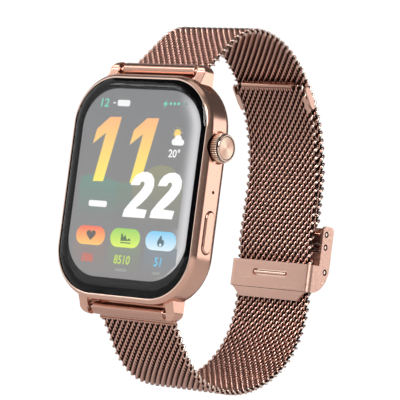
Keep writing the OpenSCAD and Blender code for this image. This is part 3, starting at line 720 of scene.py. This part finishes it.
def build_crown():
    count = CROWN_TEETH * 6
    wave = [0.5 + 0.5 * math.cos(2 * math.pi * i * CROWN_TEETH / count) for i in range(count)]
    # Place, radius, and the share of the full groove depth.
    profile = [(19.85, 1.3, 0), (19.85, 2.95, 0), (20.12, 3.05, 0), (20.3, CROWN_R - 0.16, 0.4)]
    profile += [(20.42, CROWN_R, 1), (21.55, CROWN_R, 1), (21.72, CROWN_R - 0.14, 0.5), (21.84, 3.0, 0)]
    profile += [(21.84, 2.78, 0), (22.04, 2.78, 0), (22.04, 1.0, 0)]
    rings = []
    for x, base, depth in profile:
        radii = [base - CROWN_GROOVE * depth * (1 - w**0.7) for w in wave]
        outline = [(SIDE_Y + r * y, CROWN_Z + r * z) for r, (y, z) in zip(radii, circle(0, 0, 1, count))]
        rings.append(ring_x(x, outline))
    verts, faces = bridge(rings)
    # Painted shade, dark: the base in rows 0 to 2, the ring round the cap in rows 7 to 9, and the bottoms of
    # the grooves.
    marks = []
    for f in range(len(faces)):
        row, i = divmod(f, count)
        in_groove = 0.5 * (wave[i] + wave[(i + 1) % count]) < 0.3
        marks.append(1 if row < 3 or row in (7, 8, 9) or (row < 7 and in_groove) else 0)
    o = new_object("crown_grip", verts, faces, [FINISH["crown"], FINISH["gap"]], marks, 50)
    settle(o, "crown", "case_metal", "crown_knob")

    # The cap's bow-tie sheen is painted into its colour, dark to light by angle.
    turned_sheen(FINISH["cap"], (SIDE_Y, CROWN_Z), 1.5, (0.66, 0.40, 0.30), (0.95, 0.74, 0.58))
    n = 96
    profile = [(21.98, 0.5), (21.98, 3.0), (22.08, 3.1), (22.26, 3.1), (22.4, 3.04), (22.48, 2.93)]
    profile += [(22.5, 2.80), (22.48, 2.70), (22.40, 2.62), (22.38, 2.5), (22.40, 1.6), (22.405, 0.6)]
    profile.append((22.405, 0.02))
    cap = turned_x(profile, SIDE_Y, CROWN_Z, n)
    shaft = cylinder_x(15.2, 22.0, SIDE_Y, CROWN_Z, 0.5, 32)
    # The bright ring is material 1, and the dark ring inside it, painted shade, is material 2.
    marks = [1 if 3 <= f // n < 7 else 2 if f // n < 9 else 0 for f in range(len(cap[1]))]
    marks += [1] * len(shaft[1])
    finishes = [FINISH["cap"], FINISH["rim"], FINISH["gap"]]
    o = new_object("crown_face", *join([cap, shaft]), finishes, marks)
    settle(o, "crown", "case_metal", "crown_cap")


def button_outline(extra, steps):
    """The side button's outline in (y, z), widened by extra."""
    r = BUTTON_R + extra
    upper_end = arc(SIDE_Y, BUTTON_Z + BUTTON_HALF, r, 0, 180, steps)
    return upper_end + arc(SIDE_Y, BUTTON_Z - BUTTON_HALF, r, 180, 360, steps)


def build_button():
    """The inner flange, the neck, the body in its slot, and the face that stands out of the case."""
    profile = [(17.75, 0.4), (18.0, 0.4), (18.0, -0.5), (18.4, -0.5), (18.4, 0.0), (20.1, 0.0), (20.3, 0.0)]
    profile += [(20.44, -0.05), (20.53, -0.14), (20.565, -0.28), (20.57, -0.4), (20.57, -0.6)]
    verts, faces = bridge([ring_x(x, button_outline(extra, 24)) for x, extra in profile])
    n = len(verts) // len(profile)
    # The first five rows of faces lie inside the case, and are painted shade.
    marks = [1 if f // n < 5 else 0 for f in range(len(faces))]
    o = new_object("button_face", verts, faces, [FINISH["case"], FINISH["gap"]], marks)
    settle(o, "side_button", "case_metal", "side_button")


# ---------------------------------------------------------------- strap paths


class Path:
    """A middle line in (y, z) made of straight lines [length, 0, 0] and bends [0, radius, degrees]."""

    def __init__(self, start, heading, segments):
        self.pieces = []
        p, h, s = np.array(start, float), math.radians(heading), 0.0
        for length, radius, turn in segments:
            turn = math.radians(turn)
            run = length if radius == 0 else radius * abs(turn)
            self.pieces.append((s, run, p.copy(), h, radius, turn))
            if radius == 0:
                p = p + length * np.array([math.cos(h), math.sin(h)])
            else:
                side = math.copysign(1, turn)
                centre = p + side * radius * np.array([math.sin(h), -math.cos(h)])
                h -= turn
                p = centre - side * radius * np.array([math.sin(h), -math.cos(h)])
            s += run
        self.length, self.end, self.end_heading = s, p, h

    def at(self, s):
        """Points and headings at distances s, which may run a little past the ends."""
        s = np.asarray(s, float)
        y, z, head = np.zeros_like(s), np.zeros_like(s), np.zeros_like(s)
        for k, (s0, run, p, h, radius, turn) in enumerate(self.pieces):
            last = k == len(self.pieces) - 1
            m = ((s >= s0) | (k == 0)) & ((s < s0 + run) | last)
            d = s[m] - s0
            if radius == 0:
                y[m], z[m], head[m] = p[0] + d * math.cos(h), p[1] + d * math.sin(h), h
            else:
                side = math.copysign(1, turn)
                a = h - side * d / radius
                cy, cz = p[0] + side * radius * math.sin(h), p[1] - side * radius * math.cos(h)
                y[m], z[m], head[m] = cy - side * radius * np.sin(a), cz + side * radius * np.cos(a), a
        return y, z, head

    def place(self, x, s, n):
        """Points at x across, s along and n out from the middle line."""
        y, z, h = self.at(s)
        return np.stack([x, y - n * np.sin(h), z + n * np.cos(h)], -1)

    def axes(self, s):
        """The point at s in (y, z), and the unit vectors ahead and out there."""
        y, z, h = (float(v[0]) for v in self.at(np.array([s])))
        return np.array([y, z]), np.array([math.cos(h), math.sin(h)]), np.array([-math.sin(h), math.cos(h)])


# The lower half starts as the tail, one layer step inside the upper half, then bends out to meet its line.
STEP = 1.65
TAIL_TURN = 12.5
UPPER_START, UPPER_HEADING = (-1.479, 28.36), 44
UPPER = [[11.6, 0, 0], [0, 14.8, 44], [0, 25.8, 31], [0, 36.2, 59], [7.3, 0, 0]]
upper = Path(UPPER_START, UPPER_HEADING, UPPER)
to_tail = Path(UPPER_START, UPPER_HEADING, UPPER[:3] + [[0, 36.2, TAIL_TURN]])
tail_heading = to_tail.end_heading
tail_point = to_tail.end - STEP * np.array([-math.sin(tail_heading), math.cos(tail_heading)])
tail_bend = [0, 36.2 - STEP, 59 - TAIL_TURN]
tail_drop = Path(tail_point, math.degrees(tail_heading), [tail_bend]).end[1] + 5.5
step_turn = 2 * math.degrees(math.atan(STEP / 9))
step_radius = 4.5 / math.sin(math.radians(step_turn))
LOWER = [tail_bend, [tail_drop, 0, 0], [0, step_radius, -step_turn], [0, step_radius, step_turn]]
LOWER += [[5.7, 0, 0], [0, 20.8, 55], [0, 31.5, 44], [0, 20, 41], [8.9, 0, 0]]
lower = Path(tail_point, math.degrees(tail_heading), LOWER)


# ---------------------------------------------------------------- woven wire


def unit(v):
    return v / np.linalg.norm(v, axis=-1, keepdims=True)


def sleeve(index):
    """Quads through point numbers. The last axis goes round, and the axis before it goes along."""
    turned = np.roll(index, -1, axis=-1)
    corners = [index[..., :-1, :], turned[..., :-1, :], turned[..., 1:, :], index[..., 1:, :]]
    return np.stack(corners, -1).reshape(-1, 4)


def tubes(centres, radius, sides, flat):
    """Round wires along rows of points, shaped (rows, points, 3). No wire runs along its flat direction."""
    ahead = unit(np.gradient(centres, axis=1))
    across = unit(flat - (flat * ahead).sum(-1, keepdims=True) * ahead)
    up = np.cross(ahead, across)
    a = np.linspace(0, 2 * np.pi, sides, endpoint=False)[:, None]
    ring = centres[:, :, None] + radius * (np.cos(a) * across[:, :, None] + np.sin(a) * up[:, :, None])
    return ring.reshape(-1, 3), sleeve(np.arange(ring.size // 3).reshape(ring.shape[:3]))


def half_width(s, tail):
    """Half the weave's width without its edge loops. The tail narrows towards its end."""
    s = np.asarray(s, float)
    return 10.4 - (np.clip(1 - s / 36, 0, 1) * 0.9 if tail else 0 * s)


def weave(name, path, s0, s1, body, nodes=(), tail=False):
    """Rows of flattened wire coils across the strap, each hooked through its neighbours."""
    spacing, reach, rise, wire, turns, steps = 0.97, 0.86, 0.47, 0.215, 13, 12
    rows = 2 * int(round((s1 - s0) / spacing / 2))
    middle = np.linspace(s0 + spacing * 0.5, s1 - spacing * 0.5, rows)[:, None]
    half = half_width(middle, tail)
    phase = np.linspace(0, 2 * np.pi * turns, turns * steps + 1)[None, :]
    turn = phase + np.pi * (np.arange(rows) % 2)[:, None]
    x = half * (1 - 2 * (phase + 0.38 * np.sin(2 * turn)) / (2 * np.pi * turns))
    out = rise * np.sign(np.sin(turn)) * np.abs(np.sin(turn)) ** 0.95
    centres = path.place(x, middle + reach * np.cos(turn), out)
    coils = tubes(centres, wire, 6, np.array([1.0, 0.0, 0.0]))
    settle(array_object(name, *coils, FINISH["wire"]), body, "mesh_wire", *nodes)
    edge_loops(name + "_edges", path, middle[::2], half[::2], body)


def edge_loops(name, path, middle, half, body):
    """A bent loop of wire at both ends of the given rows, in a paler colour that is a painted highlight."""
    arch = np.linspace(0, np.pi, 11)[None, :]
    bow, level = np.sin(arch) ** 0.6, np.sign(np.cos(arch)) * np.abs(np.cos(arch)) ** 0.6
    loops = []
    for side in (-1, 1):
        across = side * (half - 0.12 + 0.50 * bow)
        loops.append(path.place(across, middle - side * 0.55 * np.cos(arch), 0.475 * level + 0 * middle))
    centres = np.concatenate(loops)
    first, last = centres[:, :1], centres[:, -1:]
    crown = centres[:, centres.shape[1] // 2][:, None]
    flat = unit(np.cross(last - first, crown - first))
    settle(array_object(name, *tubes(centres, 0.225, 8, flat), FINISH["edge_wire_painted_highlight"]), body, "mesh_wire")


def painted_shade_sheet(name, path, body, tail=False):
    """A near-black sheet inside the weave: painted shade, seen only between its wires."""
    s = np.arange(0.1, path.length, 0.6)
    x, n = half_width(s, tail) - 0.05, 0.14
    sides = ((-1, n), (1, n), (1, -n), (-1, -n))
    corners = [path.place(side * x, s, np.full_like(s, out)) for side, out in sides]
    verts = np.stack(corners, 1).reshape(-1, 3)
    index = np.arange(len(verts)).reshape(-1, 4)
    quads = np.concatenate([sleeve(index), index[:1, ::-1], index[-1:]])
    o = array_object(name, verts, quads, FINISH["painted_shade_sheet"])
    o.data.set_sharp_from_angle(angle=math.radians(40))
    settle(o, body, "mesh_wire")


def build_mesh():
    weave("upper_weave", upper, -0.2, upper.length - 0.1, "upper_strap", ["upper_mesh"])
    half = lower.length / 2
    weave("tail_weave", lower, 0.15, half, "lower_strap", ["lower_mesh"], True)
    weave("lower_weave", lower, half, lower.length + 0.2, "lower_strap")
    painted_shade_sheet("upper_painted_shade_sheet", upper, "upper_strap")
    painted_shade_sheet("lower_painted_shade_sheet", lower, "lower_strap", True)


# ---------------------------------------------------------------- strap ends and clasp


def slab(place, along, out, x0, x1):
    """A block between two distances along and two out, from a point and its vectors ahead and out."""
    point, ahead, outward = place
    corners = ((along[0], out[0]), (along[1], out[0]), (along[1], out[1]), (along[0], out[1]))
    outline = [tuple(point + a * ahead + n * outward) for a, n in corners]
    if ahead[0] * outward[1] < ahead[1] * outward[0]:
        outline.reverse()
    return prism(outline, x0, x1)


def build_strap_ends():
    for name, path, s, side in (("upper", upper, 0.0, 1), ("lower", lower, lower.length, -1)):
        point, ahead, out = path.axes(s)
        place = point, side * ahead, out
        parts = [cylinder_x(-TUBE_HALF, TUBE_HALF, BAR_Y, side * BAR_Z, TUBE_R, 64, 0.2)]
        parts.append(slab(place, (-2.45, 0.35), (-0.72, 0.62), -10.8, 10.8))
        parts.append(slab(place, (0.12, 0.5), (-0.74, 0.8), -10.85, 10.85))
        # The tube finish is darkened rose metal: painted shade.
        o = new_object(name + "_end", *join(parts), FINISH["tube"])
        soften(o, 0.1, 2)
        node = name + "_end_tube"
        settle(o, name + "_strap", SLOT_OF[node], node)


def build_tail():
    """The tail's rolled edge, its clamp, and a row of crimp teeth on the inner face."""
    place = point, ahead, out = lower.axes(0.0)
    roll = point - 0.35 * ahead - 0.42 * out
    parts = [cylinder_x(-7.5, 7.5, roll[0], roll[1], 0.5, 32, 0.1)]
    parts.append(slab(place, (-0.75, 0.3), (-0.30, 0.55), -7.6, 7.6))
    pitch = 0.72
    for i in range(21):
        x = -7.56 + i * pitch
        rings = []
        for x0, x1, along, near, far in ((x + 0.31, x + 0.41, 1.15, -0.5, -0.76),
                                         (x + 0.03, x + pitch - 0.03, 0.1, -0.4, -0.80)):
            high, low = point + along * ahead + near * out, point + along * ahead + far * out
            rings.append([(x0, *high), (x0, *low), (x1, *low), (x1, *high)])
        parts.append(bridge(rings))
    # The crimp takes the darkened tube finish: painted shade.
    o = new_object("tail_crimp", *join(parts), FINISH["tube"])
    soften(o, 0.05, 2)
    settle(o, "lower_strap", "clasp_metal", "tail_bar")


def keeper_strip(s0, s1, x, half_x, n, half_n):
    """A chamfered strip along the tail. Its wider side swells from its ends."""
    rings = []
    for s in np.linspace(s0, s1, 24):
        swell = max(1 - abs((2 * s - s0 - s1) / (s1 - s0)) ** 5, 0.02) ** 0.5
        a, b = (half_x, half_n * swell) if half_n > half_x else (half_x * swell, half_n)
        c = 0.3 * min(a, b)
        lower_side = [(-a, c - b), (c - a, -b), (a - c, -b), (a, c - b)]
        across, out = np.array(lower_side + [(-x, -y) for x, y in lower_side]).T
        rings.append([tuple(v) for v in lower.place(x + across, np.full(8, s), n + out)])
    return bridge(rings[::-1])


def build_keepers():
    """Rounded cheeks beside the tail, small leaves over its inner face, and a link between each pair."""
    parts = []
    for cheek, leaf, joint in ((11.2, 10.2, 10.95), (-10.45, -9.75, -10.2)):
        parts.append(keeper_strip(0.2, 6.2, cheek, 0.2, 0.0, 0.85))
        parts.append(keeper_strip(2.4, 7.0, leaf, 0.55, -0.83, 0.11))
        parts.append(keeper_strip(3.2, 4.6, joint, 0.3, -0.80, 0.07))
    settle(new_object("keepers", *join(parts), FINISH["clasp"]), "lower_strap", "clasp_metal", "tail_keepers")


def build_clasp_shade_and_bumps():
    """Painted shade: dark rings round the pressed-in bars and a dark line for a crease over the slotted
    plate; and a bump on each cheek.
    """
    parts, bumps, n = [], [], 32
    for side in (-1, 1):
        section = [(11.93, 0.40), (11.97, 0.40), (11.97, 0.78), (11.93, 0.78)][::-side]
        for y, z in ((50.3, -2.56), (50.5, -5.64), (51.4, -11.6)):
            verts = [point for x, r in section for point in ring_x(side * x, circle(y, z, r, n))]
            faces = [(k * n + i, k * n + (i + 1) % n, (k + 1) % 4 * n + (i + 1) % n, (k + 1) % 4 * n + i)
                     for k in range(4) for i in range(n)]
            parts.append((verts, faces))
        x0, x1 = sorted((side * 11.9, side * 12.04))
        bumps.append(cylinder_x(x0, x1, 50.7, -14.2, 0.38, 24, 0.1))
    parts.append(prism([(45.47, -16.96), (45.53, -16.96), (45.53, -16.86), (45.47, -16.86)], -10.7, 10.7))
    settle(new_object("painted_shade_rings_and_crease", *join(parts), FINISH["gap"]), "lower_strap", "clasp_metal")
    settle(new_object("cheek_bumps", *join(bumps), FINISH["pin"]), "lower_strap", "clasp_metal")


# CAD nodes that are shown as they are, by finish.
KEPT = {
    "back": ["back_cover"],
    "board": ["main_board", "sensor_board"],
    "foil": ["battery"],
    "gold": ["microphone", "charging_pins"],
    "pin": ["hook_bar", "lock_pin", "lid_pin"],
    "plastic": ["speaker", "crown_encoder", "button_switches", "encoder_wheel"],
    "rubber": ["glass_gasket", "back_gasket"],
    "sensor": ["sensor_window"],
    "steel": ["mid_frame", "processor_shield", "vibration_motor", "crown_tube", "crown_stem", "button_posts",
              "back_screws", "charging_magnets", "spring_bar_barrels", "spring_bar_tips",
              "spring_bar_springs"],
}
# CAD nodes that are shown as rounded copies: finish, rounding in millimetres and steps.
DRESSED = {
    "strap_hook": ("clasp", 0.1, 2),
    "clasp_body": ("clasp", 0.12, 2),
    "clasp_lid": ("clasp", 0.15, 3),
    "lock_plate": ("clasp", 0.08, 2),
    "lid_claws": ("steel", 0.05, 1),
    "grip_bar": ("pin", 0.05, 1),
}


def finish_cad():
    for finish, nodes in KEPT.items():
        for node in nodes:
            NODES[node].data.materials.clear()
            NODES[node].data.materials.append(FINISH[finish])
    for node, (finish, width, segments) in DRESSED.items():
        dressed(node, FINISH[finish], width, segments)


# ---------------------------------------------------------------- stage, light and camera


def build_stage():
    # Low enough that the lower strap half clears it when it swings.
    low, reach = cad_box[0][2] / MM - 12.0, 4000
    verts = [(x, y, low) for x, y in ((-reach, -reach), (reach, -reach), (reach, reach), (-reach, reach))]
    white = (1, 1, 1, 1)
    pale = material("pale_floor", (0.88, 0.88, 0.88), 0.0, 0.9, Emission_Color=white, Specular_IOR_Level=0.0)
    ray = add_node(pale, "ShaderNodeLightPath")
    lift = math_node(pale, "MULTIPLY", 1.1)
    link(pale, ray, "Is Camera Ray", lift, 0)
    link(pale, lift, "Value", surface(pale), "Emission Strength")
    new_object("floor", verts, [(0, 1, 2, 3)], pale)

    # The camera sees white, and the watch gets only a faint even light from all round.
    world = bpy.data.worlds.new("studio")
    bpy.context.scene.world = world
    world.use_nodes = True
    world.node_tree.nodes.clear()
    fill = add_node(world, "ShaderNodeBackground", Color=white, Strength=0.10)
    seen = add_node(world, "ShaderNodeBackground", Color=white, Strength=1.05)
    path = add_node(world, "ShaderNodeLightPath")
    mix = add_node(world, "ShaderNodeMixShader")
    out = add_node(world, "ShaderNodeOutputWorld")
    link(world, path, "Is Camera Ray", mix, "Fac")
    link(world, fill, 0, mix, 1)
    link(world, seen, 0, mix, 2)
    link(world, mix, 0, out, "Surface")


def towards(azimuth, elevation):
    """A unit vector, with the azimuth measured from the screen's side towards the crown, in radians."""
    level = math.cos(elevation)
    return Vector((math.sin(azimuth) * level, -math.cos(azimuth) * level, math.sin(elevation)))


def softbox(name, azimuth, elevation, distance, width, height, brightness):
    """An area light on a sphere round the watch, facing its middle."""
    away = towards(math.radians(azimuth), math.radians(elevation))
    light = bpy.data.lights.new(name, "AREA")
    light.shape = "RECTANGLE"
    light.size, light.size_y = width, height
    light.energy = brightness * math.pi * width * height
    o = bpy.data.objects.new(name, light)
    o.location = Vector((0, 0.02, 0)) + away * distance
    o.rotation_euler = (-away).to_track_quat("-Z", "Y").to_euler()
    bpy.context.scene.collection.objects.link(o)
    o.visible_camera = False


def build_light():
    softbox("behind_right", 142, 11, 0.9, 0.46, 0.40, 1.5)
    softbox("above", 0, 80, 0.8, 0.5, 0.5, 0.6)
    softbox("left", -66, 18, 0.9, 1.2, 0.85, 0.9)
    softbox("left_strip", -42, 30, 1.0, 0.28, 0.14, 4.0)
    softbox("front", 32, 27, 1.0, 0.42, 0.52, 13.0)
    softbox("behind_left", 232, 42, 0.9, 0.4, 0.4, 0.45)


def build_camera():
    # The view and the place come from fitting the glass, the lugs, the crown and the strap to the photo.
    azimuth, elevation, roll = (math.radians(a) for a in (38.478, -4.03, 7.342))
    away = towards(azimuth, elevation)
    across = (-away).cross(Vector((0, 0, 1))).normalized()
    up = across.cross(-away)
    right = across * math.cos(roll) + up * math.sin(roll)
    top = up * math.cos(roll) - across * math.sin(roll)
    place = right * 9.331 + top * -1.594 + away * 593.1
    data = bpy.data.cameras.new("view")
    data.sensor_width = 36
    data.lens = 234.5
    data.clip_start = 0.01
    data.clip_end = 20
    o = bpy.data.objects.new("view", data)
    o.matrix_world = Matrix.Translation(place * MM) @ Matrix((right, top, away)).transposed().to_4x4()
    bpy.context.scene.collection.objects.link(o)
    bpy.context.scene.camera = o


build_case()
build_glass()
build_screen()
build_crown()
build_button()
build_mesh()
build_strap_ends()
build_tail()
build_keepers()
build_clasp_shade_and_bumps()
finish_cad()
build_stage()
build_light()
build_camera()
bpy.context.scene.view_settings.view_transform = "Standard"
